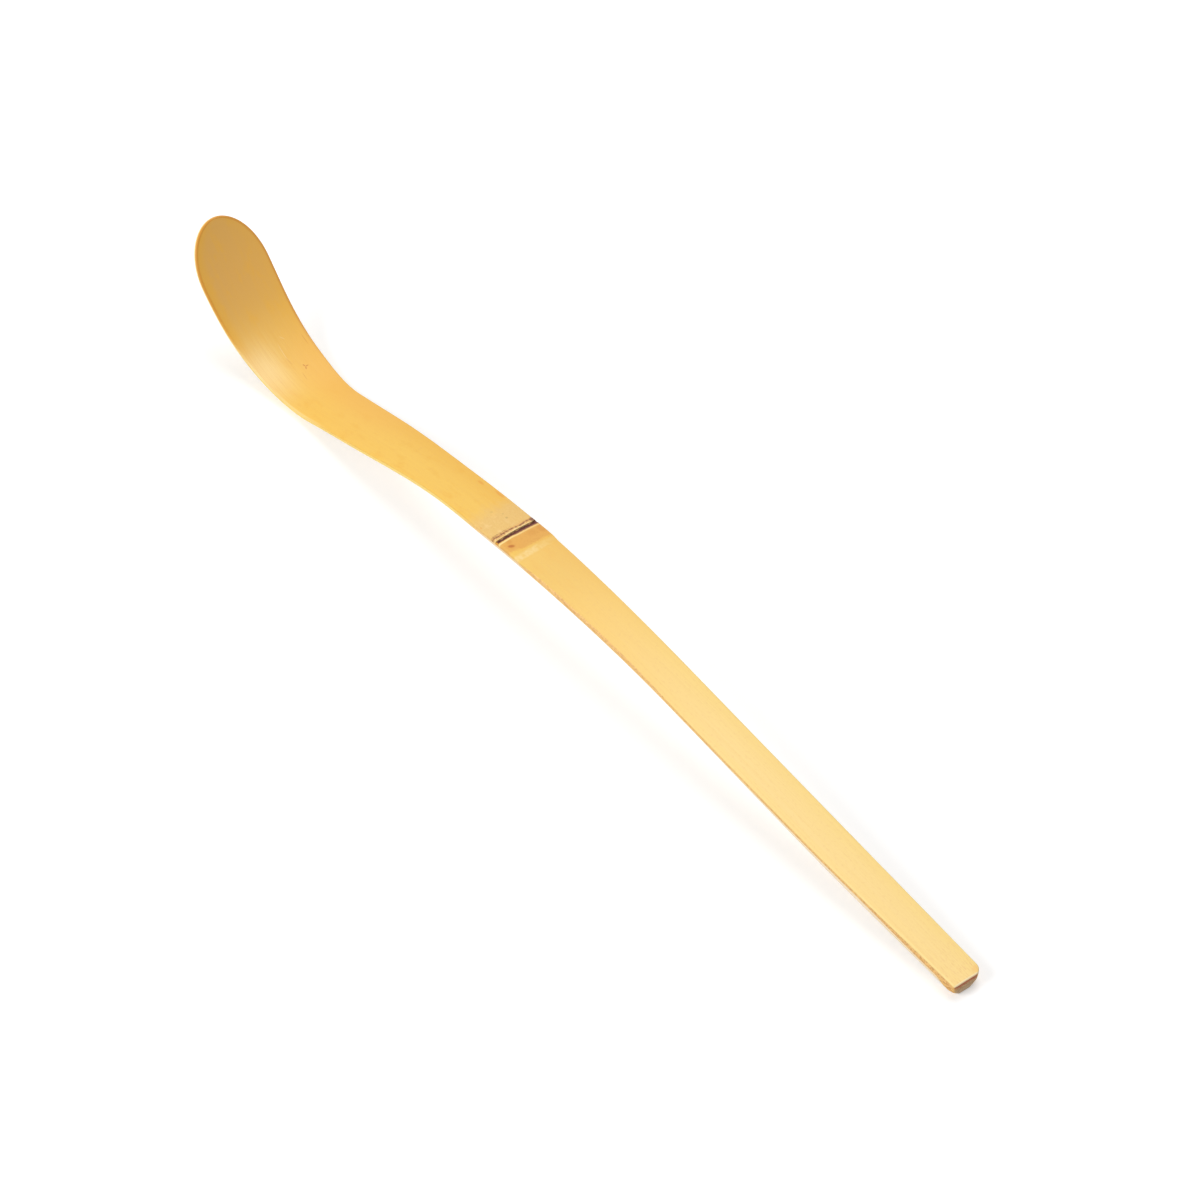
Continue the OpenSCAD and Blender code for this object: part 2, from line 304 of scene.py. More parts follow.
def scooped(station):
    """Share by which a section has turned from the handle's form to the scoop's."""
    return ramp(neck_place, bend_middle, station)


def underside(station, share):
    x, z, slope = level_line(station)
    whole, flank = smooth_at(THICKNESSES, station), smooth_at(FLANKS, station)
    shaved = whole - smooth_at(WALLS, station) - flank * (1 - math.tan(lean))
    y = share * (smooth_at(WIDTHS, min(station, widest_place)) / 2 - shaved)
    dished = scooped(station) * full_dish * (2 * y / scoop_width) ** 2
    depth = whole - scooped(station) * (dished - y**2 / (2 * culm_radius))
    return x + depth * math.sin(slope), z - depth * math.cos(slope)


foot = underside(0, 1)
bend_stations = [neck_place + n * probe_step for n in range(int(bend_length / probe_step))]
shares = [n / probes_across for n in range(probes_across + 1)]
bend_points = [underside(s, share) for s in bend_stations for share in shares]
rest_angle = min(math.atan2(z - foot[1], x - foot[0]) for x, z in bend_points)


def strip_line(station):
    """Place, direction towards the tip and upward direction of the middle of the skin."""
    x, z, slope = level_line(station)
    x, z, slope = x - foot[0], z - foot[1], slope - rest_angle
    turned_x = x * math.cos(rest_angle) + z * math.sin(rest_angle)
    turned_z = z * math.cos(rest_angle) - x * math.sin(rest_angle)
    ahead = Vector((-math.cos(slope), 0, math.sin(slope)))
    up = Vector((math.sin(slope), 0, math.cos(slope)))
    return Vector((-turned_x, 0, turned_z)), ahead, up


butt_reach = cad_box[1].x * 1000
line_shift = Vector((butt_reach - strip_line(0)[0].x, 0, 0))
print("turned by", round(math.degrees(rest_angle), 3), "degrees to rest")
print("butt moved to", round(butt_reach, 2))

# %% [markdown]
# ## Rows along the strip
# The strip is lofted: a cross-section is swept along the line, and its width, its thickness and
# its whittled faces change from row to row. Each row is one point of a rail, and it carries its
# sizes as attributes that Geometry Nodes will read. Rows are dense where the shape is fine. Three
# sizes are wear, too fine for the CAD model: the butt's eased edge, round foot and pared corners.

# %% Rows
ROW_SIZES = [
    "station", "half_far", "half_near", "out_along", "out_across", "wall", "flank",
    "whole", "scooped", "rise", "close", "ease", "core", "foot_ease",
]
edge_ease, foot_round, corner_pare = 0.12, 0.16, 0.65


def rim_rise(station):
    return rim_height * (1 - ramp(scar_end, rim_end, station))


def band_rise(station):
    if station < ridge_place:
        return ridge_height * ramp(band_start, ridge_place, station)
    return ridge_height - (ridge_height - band_edge) * ramp(ridge_place, scar_place, station)


def corner_cut(radius, distance):
    return radius - math.sqrt(radius**2 - max(0, radius - distance) ** 2)


def row(station, rise, core):
    """One section of the strip, with the sizes that its corners are worked out from."""
    half = smooth_at(WIDTHS, min(station, widest_place)) / 2
    out = (0.0, 1.0)
    far, near = half, half + smooth_at(BULGES, station)
    if station < far_corner:
        far -= corner_cut(far_corner, station)
        near -= corner_cut(near_corner, station)
    if station > widest_place:
        s = min((station - widest_place) / tip_round, 1)
        c = math.sqrt(1 - s * s)
        far = near = scoop_width / 2 * c
        out = Vector((scoop_width / 2 * s, tip_round * c)).normalized()
    pared = corner_pare * (1 - ramp(0, far_corner, station))
    return {
        "station": station, "half_far": far, "half_near": near,
        "out_along": out[0], "out_across": out[1],
        "wall": smooth_at(WALLS, station), "flank": smooth_at(FLANKS, station) - pared,
        "whole": smooth_at(THICKNESSES, station), "scooped": scooped(station),
        "rise": rise, "close": 0.0, "core": core,
        "ease": corner_cut(edge_ease, station), "foot_ease": corner_cut(foot_round, station),
    }


def steps(start, end, spacing):
    count = max(1, math.ceil((end - start) / spacing))
    return [start + (end - start) * n / count for n in range(count)]


def around(n, count):
    """Angle of one of the even steps in a quarter turn."""
    return math.radians(90 * n / count)


def capped(rows, tip=True):
    """Closes a loft with a row that shrinks to one point at each flat end."""
    first, last = [dict(rows[0], close=1.0)], [dict(rows[-1], close=1.0)]
    return first + rows + (last if tip else [])


ease_rows, corner_rows, tip_rows = 5, 12, 36
butt_stations = [edge_ease * (1 - math.cos(around(n, ease_rows))) for n in range(ease_rows)]
corner_stations = [
    far_corner * (1 - math.cos(around(n, corner_rows))) for n in range(4, corner_rows)
]
handle_stations = (
    butt_stations + corner_stations + steps(far_corner, grip_length, 2)
    + steps(grip_length, band_start, 1)
)
band_stations = steps(band_start, scar_place, 0.1)
rim_stations = steps(scar_end, rim_end, 0.06)
tip_stations = [
    widest_place + tip_round * math.sin(around(n, tip_rows)) for n in range(tip_rows + 1)
]
scoop_stations = (
    rim_stations + steps(rim_end, waist_place, 1) + steps(waist_place, neck_place, 1)
    + steps(neck_place, widest_place, 0.6) + tip_stations
)
print(len(handle_stations), len(band_stations), len(scoop_stations), "rows")

# %% [markdown]
# ## The outline of a section
# A section's outline is a closed loop of lanes. Each lane says which share of the half width it
# lies at, how far it is set in from the edge, how deep it lies and which of the row's sizes those
# depend on. The skin has a rounded upper edge. The flesh has an upright wall, a steep flank, a
# bevel at 45 degrees and a flat underside, with each whittled edge a little worn.

# %% Lanes
LANE_SIZES = [
    "share", "inset", "inset_flank", "inset_bevel", "depth", "depth_wall", "depth_flank",
    "depth_whole", "lift", "thins", "ease_in", "ease_down", "ease_foot",
]
top_lanes, under_lanes, edge_lanes = 18, 8, 5
worn_edge, wear = 0.25, 0.05
slant_wear = wear * 0.7


def lane(share, **sizes):
    return dict({name: 0.0 for name in LANE_SIZES}, share=share, **sizes)


def top_face(**sizes):
    return [lane(n / top_lanes, **sizes) for n in range(top_lanes + 1)]


def under_face(**sizes):
    return [lane(n / under_lanes, **sizes) for n in range(under_lanes, -1, -1)]


seam = under_face(depth=skin_thickness, ease_in=1.0)


def rounded_edge(n):
    s, c = math.sin(around(n, edge_lanes)), math.cos(around(n, edge_lanes))
    inset, depth = worn_edge * (1 - s), worn_edge * (1 - c)
    return lane(1.0, inset=inset, depth=depth, lift=1.0, ease_in=s, ease_down=c)


skin_lanes = (
    top_face(inset=worn_edge, lift=1.0, ease_down=1.0)
    + [rounded_edge(n) for n in range(1, edge_lanes + 1)]
    + seam
)
scar_lanes = top_face(depth=scar_depth) + seam

flank_foot = dict(depth_wall=1.0, depth_flank=1.0, inset_flank=1.0, ease_in=1.0)
bevel_foot = dict(depth_whole=1.0, inset_flank=1.0, inset_bevel=1.0, ease_in=1.0, ease_foot=1.0)
flesh_lanes = (
    list(reversed(seam))
    + [
        lane(1.0, depth_wall=1.0, ease_in=1.0),
        lane(1.0, depth=-wear, inset=-wear * math.tan(lean), **flank_foot),
        lane(1.0, depth=slant_wear, inset=slant_wear, **flank_foot),
        lane(1.0, depth=-slant_wear, inset=-slant_wear, thins=1.0, **bevel_foot),
    ]
    + under_face(inset=wear, thins=1.0, **bevel_foot)
)
print("lanes round a skin:", 2 * len(skin_lanes) - 2)
print("lanes round the flesh:", 2 * len(flesh_lanes) - 2)

# %% [markdown]
# ## Rail and profile as plain meshes
# Both are chains of edges that only carry numbers. An attribute on a point is the simplest way to
# hand Geometry Nodes a different size at every row. The tree moves every point to its place.

# %% Number-carrying meshes
row_gap, ring_radius = 0.01, 0.001


def chain(name, points, closed, names, records):
    mesh = bpy.data.meshes.new(name)
    edges = [(n, n + 1) for n in range(len(points) - 1)]
    mesh.from_pydata(points, edges + ([(len(points) - 1, 0)] if closed else []), [])
    for size in names:
        values = mesh.attributes.new(size, "FLOAT", "POINT")
        values.data.foreach_set("value", [record[size] for record in records])
    thing = bpy.data.objects.new(name, mesh)
    bpy.context.scene.collection.objects.link(thing)
    return thing


def rail(name, rows):
    lines = [strip_line(r["station"]) for r in rows]
    points = [Vector((n * row_gap, 0, 0)) for n in range(len(rows))]
    thing = chain(name, points, False, ROW_SIZES, rows)
    for word, column in (("middle", 0), ("ahead", 1), ("up", 2)):
        shift = line_shift if word == "middle" else Vector()
        values = thing.data.attributes.new(word, "FLOAT_VECTOR", "POINT")
        values.data.foreach_set("vector", [c for line in lines for c in line[column] + shift])
    return thing


def loop(name, lanes):
    both = lanes + [dict(l, share=-l["share"]) for l in reversed(lanes[1:-1])]
    turns = [math.tau * n / len(both) for n in range(len(both))]
    points = [Vector((math.cos(turn), math.sin(turn), 0)) * ring_radius for turn in turns]
    return chain(name, points, True, LANE_SIZES, both)


# %% [markdown]
# ## One tree that lofts every layer
# Curve to Mesh sweeps the profile along the rail, and every point of the result inherits the
# numbers of its row and of its lane. Set Position then puts each point where those numbers say.
# Beside the sheath scar the edges wander, because the sheath tore off there: a noise that depends
# only on the place across the strip shifts all layers alike, so they stay face to face.
# The last steps close the ends, and store each point's place on the strip for the materials.

# %% The lofting tree
millimetre = 0.001
weld = 4e-7
least_share = 0.1


def named(bench, name, kind="FLOAT"):
    node = bench.node("GeometryNodeInputNamedAttribute", {"data_type": kind}, {"Name": name})
    return node["Attribute"]


def stored(bench, geometry, name, value, kind="FLOAT"):
    node = bench.node(
        "GeometryNodeStoreNamedAttribute", {"data_type": kind, "domain": "POINT"},
        {"Geometry": geometry, "Name": name, "Value": value},
    )
    return node["Geometry"]


def build_loft_tree():
    tree = bpy.data.node_groups.new("Strip layer", "GeometryNodeTree")
    for name, kind in [
        ("Rail", "NodeSocketGeometry"), ("Profile", "NodeSocketObject"),
        ("Finish", "NodeSocketMaterial"), ("Tear", "NodeSocketFloat"),
        ("Tear length", "NodeSocketFloat"), ("Dish", "NodeSocketFloat"),
        ("Dish width", "NodeSocketFloat"), ("Culm radius", "NodeSocketFloat"),
    ]:
        tree.interface.new_socket(name=name, in_out="INPUT", socket_type=kind)
    tree.interface.new_socket(name="Layer", in_out="OUTPUT", socket_type="NodeSocketGeometry")
    b = Bench(tree)
    given = b.node("NodeGroupInput")
    path = b.node("GeometryNodeMeshToCurve", None, {"Mesh": given["Rail"]})["Curve"]
    ring = b.node("GeometryNodeObjectInfo", None, {"Object": given["Profile"]})["Geometry"]
    ring = b.node("GeometryNodeMeshToCurve", None, {"Mesh": ring})["Curve"]
    swept = b.node("GeometryNodeCurveToMesh", None, {"Curve": path, "Profile Curve": ring})["Mesh"]

    size = {name: named(b, name) for name in ROW_SIZES + LANE_SIZES}
    middle, ahead, up = (named(b, word, "FLOAT_VECTOR") for word in ("middle", "ahead", "up"))
    bevel = size["whole"] - size["wall"] - size["flank"]
    inset = (
        size["inset"] + size["inset_flank"] * size["flank"] * math.tan(lean)
        + size["inset_bevel"] * bevel + size["ease_in"] * size["ease"]
    )
    far_side = size["share"].over(0)
    half = size["half_far"] * far_side + size["half_near"] * (1 - far_side)
    across = size["share"] * (half - inset * size["out_across"]).most(half * least_share)
    follows = 1 - size["thins"] * (1 - size["scooped"])
    dished = size["scooped"] * given["Dish"] * (across * 2 / given["Dish width"]) ** 2.0
    form = follows * (dished - across * across / (given["Culm radius"] * 2))
    depth = (
        size["depth"] + size["depth_wall"] * size["wall"] + size["depth_flank"] * size["flank"]
        + size["depth_whole"] * size["whole"] - size["lift"] * size["rise"]
        + size["ease_down"] * size["ease"] - size["ease_foot"] * size["foot_ease"]
    )
    along = inset * size["out_along"] * -1

    from_scar = abs(size["station"] - (scar_place + scar_end) / 2)
    nearness = from_scar.smooth(0.0, given["Tear length"], 1.0, 0.0)
    wander = b.node(
        "ShaderNodeTexNoise", {"noise_dimensions": "1D"},
        {"W": across + 4.0, "Scale": 1.6, "Detail": 4.0, "Roughness": 0.6},
    )
    torn = given["Tear"] * nearness * (wander["Fac"] - 0.5) * 2

    place = b.added(middle, b.scaled(ahead, along + torn))
    place = b.added(place, b.scaled(up, form - depth))
    place = b.added(place, b.joined(0.0, across, 0.0))
    heart = b.added(middle, b.scaled(up, -size["core"]))
    closing = {"Factor": size["close"], "A": place, "B": heart}
    place = b.node("ShaderNodeMix", {"data_type": "VECTOR"}, closing)["Result"]
    grain = b.joined(size["station"] + along, across, depth)
    made = stored(b, swept, "grain", grain, "FLOAT_VECTOR")
    made = stored(b, made, "edge", half - abs(across))
    for kind, sockets in [
        ("GeometryNodeSetPosition", {"Position": b.scaled(place, millimetre)}),
        ("GeometryNodeMergeByDistance", {"Distance": weld}),
        ("GeometryNodeSetShadeSmooth", {"Shade Smooth": True}),
        ("GeometryNodeRealizeInstances", {}),
        ("GeometryNodeSetMaterial", {"Material": given["Finish"]}),
    ]:
        made = b.node(kind, None, {"Geometry": made, **sockets})["Geometry"]
    b.node("NodeGroupOutput", None, {"Layer": made})
    return tree


loft_tree = build_loft_tree()
print(len(loft_tree.nodes), "nodes in the lofting tree")

# %% [markdown]
# ## From tree to plain mesh
# The modifier's inputs are set by each socket's identifier. The evaluated result becomes a plain
# mesh, so nothing live is left on the piece. Its volume is then worked out and printed: a negative
# volume means that the faces point inwards, and then they are flipped.

# %% Making a layer
tear, tear_length = 0.13, 1.2
sharp_angle = 28


def set_input(modifier, name, value):
    sockets = modifier.node_group.interface.items_tree
    socket = [s for s in sockets if s.name == name and s.in_out == "INPUT"][0]
    modifier[socket.identifier] = value


def volume(mesh):
    mesh.calc_loop_triangles()
    total = 0.0
    for t in mesh.loop_triangles:
        p, q, r = (mesh.vertices[i].co for i in t.vertices)
        total += p.dot(q.cross(r)) / 6
    return total * 1e9


def baked(thing, name):
    """A plain mesh object from an object whose modifiers are finished."""
    depsgraph = bpy.context.evaluated_depsgraph_get()
    mesh = bpy.data.meshes.new_from_object(thing.evaluated_get(depsgraph), depsgraph=depsgraph)
    bpy.data.objects.remove(thing)
    mesh.name = name
    piece = bpy.data.objects.new(name, mesh)
    bpy.context.scene.collection.objects.link(piece)
    return piece


def layer(name, rows, lanes, finish):
    path, ring = rail(name + "_rail", rows), loop(name + "_ring", lanes)
    modifier = path.modifiers.new("Loft", "NODES")
    modifier.node_group = loft_tree
    for key, value in [
        ("Profile", ring), ("Finish", finish), ("Tear", tear), ("Tear length", tear_length),
        ("Dish", full_dish), ("Dish width", scoop_width), ("Culm radius", float(culm_radius)),
    ]:
        set_input(modifier, key, value)
    piece = baked(path, name)
    bpy.data.objects.remove(ring)
    if volume(piece.data) < 0:
        piece.data.flip_normals()
    for spare in ROW_SIZES + LANE_SIZES + ["middle", "ahead", "up"]:
        if spare in piece.data.attributes:
            piece.data.attributes.remove(piece.data.attributes[spare])
    piece.data.set_sharp_from_angle(angle=math.radians(sharp_angle))
    print(name, len(piece.data.polygons), "faces,", round(volume(piece.data), 1), "mm3")
    return piece


# %% [markdown]
# ## Bamboo colours
# Colours are written as they look on a screen, from 0 to 255, and turned into the linear values
# that shaders need. Most are the colours of the material itself, so they are a little deeper
# than in a photograph, where the polished skin also mirrors some white light. A few are also laid
# on as painted highlight and painted shade, as the finishes below say.

# %% Colours
def tint(red, green, blue):
    def linear(c):
        c /= 255
        return c / 12.92 if c <= 0.04045 else ((c + 0.055) / 1.055) ** 2.4
    return (linear(red), linear(green), linear(blue), 1.0)


straw = tint(253, 217, 133)
honey = tint(245, 198, 88)
honey_orange = tint(246, 186, 84)
amber = tint(240, 181, 62)
butter = tint(252, 214, 102)
dusky = tint(234, 190, 84)
toasted = tint(232, 178, 90)
# This yellow is laid both as wear and as painted highlight on edges, the lip and the bend.
wear_and_highlight_yellow = tint(255, 228, 150)
worn_white = tint(255, 230, 176)
ridge_cream = tint(252, 216, 140)
knot_orange = tint(229, 166, 72)
burnt_orange = tint(214, 142, 50)
bud_brown = tint(192, 110, 24)
# This cream is the torn rim's own pale tone and also a painted highlight on the bend.
bloom_and_highlight_cream = tint(254, 226, 156)
bloom_beige = tint(236, 194, 118)
torn_cream = tint(250, 212, 144)
fibre_brown = tint(152, 98, 60)
strand_brown = tint(244, 198, 146)
maroon = tint(118, 62, 48)
cork_black = tint(78, 36, 34)
olive = tint(168, 136, 62)
streak_orange = tint(232, 150, 40)
mark_brown = tint(196, 98, 14)
rim_yellow = tint(255, 222, 128)
rim_orange = tint(238, 178, 66)
rim_brown = tint(218, 146, 44)
rim_cream = tint(255, 232, 160)
wall_gold = tint(253, 206, 128)
wall_brown = tint(230, 170, 96)
knife_brown = tint(198, 138, 76)
flank_cream = tint(255, 234, 200)
flesh_cream = tint(250, 232, 206)
flesh_tan = tint(238, 206, 158)
bundle_brown = tint(150, 100, 60)
end_grain = tint(228, 190, 140)
end_brown = tint(178, 132, 90)
end_grey = tint(240, 218, 184)
scorched = tint(190, 84, 28)
print("honey is", [round(c, 3) for c in honey[:3]], "in linear light")

# %% [markdown]
# ## Tools for the finishes
# Every finish reads the place on the strip that the loft stored: x along, y across and z the
# depth, all in millimetres. A pattern written in these numbers follows the bend as the fibres do.
# A plain number among a noise's places is its seed. `spot` is a soft round mask about one place,
# and `marks` joins several.

# %% Masks and noises
def finish_bench(name):
    material = bpy.data.materials.new(name)
    material.use_nodes = True
    material.node_tree.nodes.clear()
    return material, Bench(material.node_tree)


def blend(b, mask, below, above):
    settings = {"data_type": "RGBA", "blend_type": "MIX", "clamp_factor": True}
    return b.node("ShaderNodeMix", settings, {"Factor": mask, "A": below, "B": above})["Result"]


def laid(b, colour, *tones):
    """Lays tone after tone over a colour, each through its own mask."""
    for mask, tone in tones:
        colour = blend(b, mask, colour, tone)
    return colour


def grain_places(b):
    grain = b.node("ShaderNodeAttribute", {"attribute_name": "grain"})["Vector"]
    split = b.node("ShaderNodeSeparateXYZ", None, {"Vector": grain})
    edge = b.node("ShaderNodeAttribute", {"attribute_name": "edge"})["Fac"]
    return split["X"], split["Y"], split["Z"], edge


def noise(b, x, y, z, detail=3.0, rough=0.55):
    sockets = {"Vector": b.joined(x, y, z), "Scale": 1.0, "Detail": detail, "Roughness": rough}
    return b.node("ShaderNodeTexNoise", None, sockets)["Fac"]


def spot(b, x, y, at, size, stretch=1.0, turn=0.0):
    """1 at a place, falling to 0 at its size; it can be stretched along the strip and turned."""
    c, s = math.cos(math.radians(turn)), math.sin(math.radians(turn))
    u, v = (x - at[0]) * c + (y - at[1]) * s, (y - at[1]) * c - (x - at[0]) * s
    away = (u / stretch) ** 2.0 + v ** 2.0
    return away.smooth(size * size, size * size * 0.1)


def marks(b, x, y, places):
    """The strongest of several spots, each with place, size, strength, and stretch and turn."""
    masks = [spot(b, x, y, at, size, *form) * strength for at, size, strength, *form in places]
    whole = masks[0]
    for mask in masks[1:]:
        whole = whole.most(mask)
    return whole


relief = 0.00003
coat_roughness = 0.3


def output(b, colour, rough, height, bump, coat=0.0):
    bumped = {"Strength": bump, "Distance": relief, "Height": height}
    shader = b.node("ShaderNodeBsdfPrincipled", None, {
        "Base Color": colour, "Roughness": rough, "Coat Weight": coat,
        "Normal": b.node("ShaderNodeBump", None, bumped)["Normal"],
        "Coat Roughness": coat_roughness, "Specular IOR Level": 0.5,
    })
    b.node("ShaderNodeOutputMaterial", None, {"Surface": shader["BSDF"]})


# %% [markdown]
# ## The skin's own look
# Bamboo skin is hard, waxy and fine. Straight fibres show as faint streaks along it, and it turns
# from pale straw at the butt to a dusky honey at the arch, and to a toasted tone where it was
# heated for the bend. The far long edge is a deeper amber, which is painted shade, where the
# crowned face turns away from the light. Four noises do the rest: a very long one for the fibres,
# a broader one for bands, a round one for blotches and a fine one for pepper.

# %% Plain skin
honey_start, honey_full = grip_length - 16, crown_place + 3
dusk_start, dusk_end = crown_place - 7, crown_place + 3
heat_start, heat_full = bend_middle - 3.5, widest_place


def plain_skin(b, x, y):
    far = blend(b, x.smooth(60.0, 104.0), butter, amber)
    broad = noise(b, x * 0.02, y * 0.9, 2.0, 2.0)
    fibres = noise(b, x * 0.05, y * 5.0, 5.0, 4.0, 0.7)
    blotch = noise(b, x * 0.25, y * 0.5, 9.0, 3.0, 0.6)
    pepper = noise(b, x * 1.5, y * 2.6, 27.0, 3.0, 0.7)
    colour = laid(
        b, straw,
        (x.smooth(honey_start, honey_full), honey),
        (x.between(dusk_start, dusk_end, 6.0) * 0.5, dusky),
        (x.smooth(heat_start, heat_full), toasted),
        # painted shade: the far side of the crowned skin is deepened to amber
        (y.smooth(-1.5, 5.0, 0.0, 0.7) * x.smooth(170.0, 156.0, 0.25, 1.0), far),
        (broad.smooth(0.4, 0.75, 0.0, 0.2), far),
        (blotch.smooth(0.5, 0.72, 0.0, 0.5) * x.smooth(70.0, 112.0), amber),
        (fibres.smooth(0.35, 0.7, 0.0, 0.16), toasted),
        (pepper.smooth(0.52, 0.68, 0.0, 0.16), wall_brown),
    )
    return colour, fibres


# %% [markdown]
# ## Whittled walls and worn edges
# The knife cut through the skin into the flesh, so both share one finish on the walls: mottled
# gold with knife marks, most of them near the butt, and pale cream from the wall's foot down.
# Round the scoop the wall is a golden rim.

# %% Side wall
def side_wall(b, x, y, z, edge, colour):
    streaks = noise(b, x * 0.12, y * 0.5, z * 3.5, 4.0, 0.7)
    mottle = noise(b, x * 1.3, y * 1.3, z * 2.6, 3.0, 0.65)
    knife = noise(b, x * 2.4, y * 2.4, z * 4.5, 3.0, 0.7)
    before_node = x.smooth(84.0, 96.0) * x.smooth(band_border, band_border - 1.0)
    near_rim = x.smooth(156.0, 164.0) * y.smooth(3.0, -1.0) * z.smooth(0.16, 0.3)
    at_node = x.smooth(band_start - 2.0, band_start) * x.smooth(rim_end + 4.0, rim_end)
    foot_line = x.smooth(4.0, 21.0, butt_wall + 0.2, 0.68) + x.smooth(4.0, 0.5, 0.0, 1.6)
    wall = laid(
        b, wall_gold,
        (streaks.smooth(0.4, 0.7, 0.0, 0.6), wall_brown),
        (mottle.smooth(0.5, 0.66, 0.0, 0.4), amber),
        (knife.smooth(0.48, 0.56) * x.smooth(44.0, 4.0, 0.4, 0.75), knife_brown),
        (z.between(0.27, 0.5, 0.08) * before_node * 0.6, wall_brown),
        (x.smooth(104.0, 112.0), rim_yellow),
        (x.smooth(158.0, 166.0), rim_orange),
        (near_rim, rim_cream),
        (at_node * 0.65, colour),
        ((z - foot_line).smooth(-0.08, 0.12) * x.smooth(150.0, 120.0), flank_cream),
    )
    pared = x.smooth(52.0, 78.0, 0.0, 0.27) * x.smooth(97.0, 90.0) * y.smooth(0.5, -0.5)
    side = z.smooth(0.16, 0.3).most((edge - pared).smooth(0.0, -0.1))
    return blend(b, side, colour, wall), streaks


# A pale line along the skin's upper edge: partly wear, partly painted highlight of the rounded
# edge.
def arris_wear_and_highlight(b, z, edge, colour, strength):
    line = edge.smooth(0.34, 0.16) * z.smooth(0.2, 0.1)
    return blend(b, line * strength, colour, wear_and_highlight_yellow)


# %% [markdown]
# ## The handle's skin
# The hand polishes the grip, so its skin is the smoothest. Its long edges are worn pale, with a
# painted highlight along them too, and the butt has short nicks and a honey stain in the far
# corner. The edge of the cut is worn bright, with a thin scorched line below it.

# %% Upper skin
corner_stain = (0.7, 2.0)


def make_upper_skin():
    material, b = finish_bench("upper_skin")
    x, y, z, edge = grain_places(b)
    colour, fibres = plain_skin(b, x, y)
    nicks = noise(b, x * 0.8, y * 6.0, 12.0, 2.0).smooth(0.55, 0.64)
    colour = laid(
        b, colour,
        (nicks * x.smooth(10.0, 1.0, 0.0, 0.36), wall_brown),
        (spot(b, x, y, corner_stain, 0.9) * 0.5, honey_orange),
    )
    colour = arris_wear_and_highlight(b, z, edge, colour, x.smooth(60.0, 3.0, 0.15, 0.6))
    colour, _ = side_wall(b, x, y, z, edge, colour)
    colour = laid(
        b, colour,
        (x.smooth(0.32, 0.14) * z.smooth(0.25, 0.12), worn_white),
        (x.smooth(0.09, 0.05) * z.smooth(0.1, 0.2), scorched),
    )
    rough = 0.36 + fibres * 0.16 + z.smooth(0.2, 0.4) * 0.2
    output(b, colour, rough, fibres, bump=0.3, coat=0.2)
    return material


upper_skin = make_upper_skin()
print("upper skin has", len(upper_skin.node_tree.nodes), "nodes")

# %% [markdown]
# ## The node's band
# Between the handle's skin and the scar lies a band of knotty tissue. It pales to cream before
# the ridge and is orange from the ridge on, deepest beside the scar and round a root bud near
# the near edge, with dark specks. The torn lip by the scar carries a painted highlight, and the
# maroon line at the scar's edge is partly residue and partly painted shade of the crevice.

# %% Node tissue
bud_place, bud_turn = (scar_place - 1.75, -2.6), -52.0
crest_place, fuzz_place = (scar_place - 4.35, 0.0), (scar_place - 2.8, 2.6)
deep_stains = [
    ((scar_place - 1.4, 1.5), 1.0, 0.5), ((scar_place - 1.4, 3.4), 1.2, 0.8),
    ((scar_place - 0.8, -2.3), 0.6, 0.7),
]


def make_node_tissue():
    material, b = finish_bench("node_tissue")
    x, y, z, edge = grain_places(b)
    colour, _ = plain_skin(b, x, y)
    cloud = noise(b, x * 1.1, y * 1.1, 3.0, 4.0, 0.6)
    flecks = noise(b, x * 4.0, y * 3.0, 8.0, 3.0, 0.7)
    crest = spot(b, x, 0.0, crest_place, 0.75) * y.smooth(3.4, -2.2, 0.25, 1.0)
    front = scar_place - 3.3 + y.smooth(-0.8, -3.2, 0.0, 0.6)
    behind_front = x - front + (cloud - 0.5) * 0.9 + (flecks - 0.5) * 0.5
    fuzz = flecks.smooth(0.52, 0.64) * spot(b, x, y, fuzz_place, 1.1)
    orange = behind_front.smooth(-0.3, 0.25) * (1 - fuzz * 0.7)
    specks = flecks.smooth(0.56, 0.64) * behind_front.between(-0.1, 2.4, 0.4)
    colour = laid(
        b, colour,
        (crest * cloud.smooth(0.34, 0.6, 0.3, 1.0), ridge_cream),
        (orange * (0.78 + flecks * 0.2), knot_orange),
        (marks(b, x, y, deep_stains) * cloud.smooth(0.25, 0.6, 0.25, 0.7), burnt_orange),
        (specks * y.smooth(-1.6, 0.6, 0.3, 1.0) * 0.6, burnt_orange),
    )
    colour = arris_wear_and_highlight(b, z, edge, colour, 0.1)
    colour, _ = side_wall(b, x, y, z, edge, colour)
    bud = spot(b, x, y, bud_place, 0.36, 1.7, bud_turn)
    ragged = x + (flecks - 0.5) * 0.12 + y.smooth(-1.6, 0.2, 0.0, 0.12)
    # The bright lip before the scar is a painted highlight.
    lip_highlight = ragged.between(scar_place - 0.44, scar_place - 0.14, 0.1) * z.smooth(0.35, 0.15)
    # The maroon line at the scar's edge is partly residue and partly painted shade of the crevice.
    residue_and_shade = ragged.smooth(scar_place - 0.14, scar_place - 0.03)
    colour = laid(
        b, colour,
        (spot(b, x, y, bud_place, 0.6, 1.4, bud_turn) * 0.45, burnt_orange),
        (bud * 0.95, bud_brown),
        (lip_highlight * y.smooth(1.5, -3.0, 0.55, 0.9), wear_and_highlight_yellow),
        (residue_and_shade * y.smooth(-2.6, -0.6, 0.3, 0.95), maroon),
    )
    height = cloud + flecks * 0.4 - bud
    output(b, colour, 0.5 + cloud * 0.15, height, bump=0.4, coat=0.08)
    return material


node_tissue = make_node_tissue()
print("node tissue has", len(node_tissue.node_tree.nodes), "nodes")

# %% [markdown]
# ## Bloom and torn rim
# Next to the scar the skin is greyish beige with waxy bloom. The torn rim of the sheath leaves
# pale strips, a broken brown hairline parallel to the scar, a shorter second one and fibres that
# cross both.

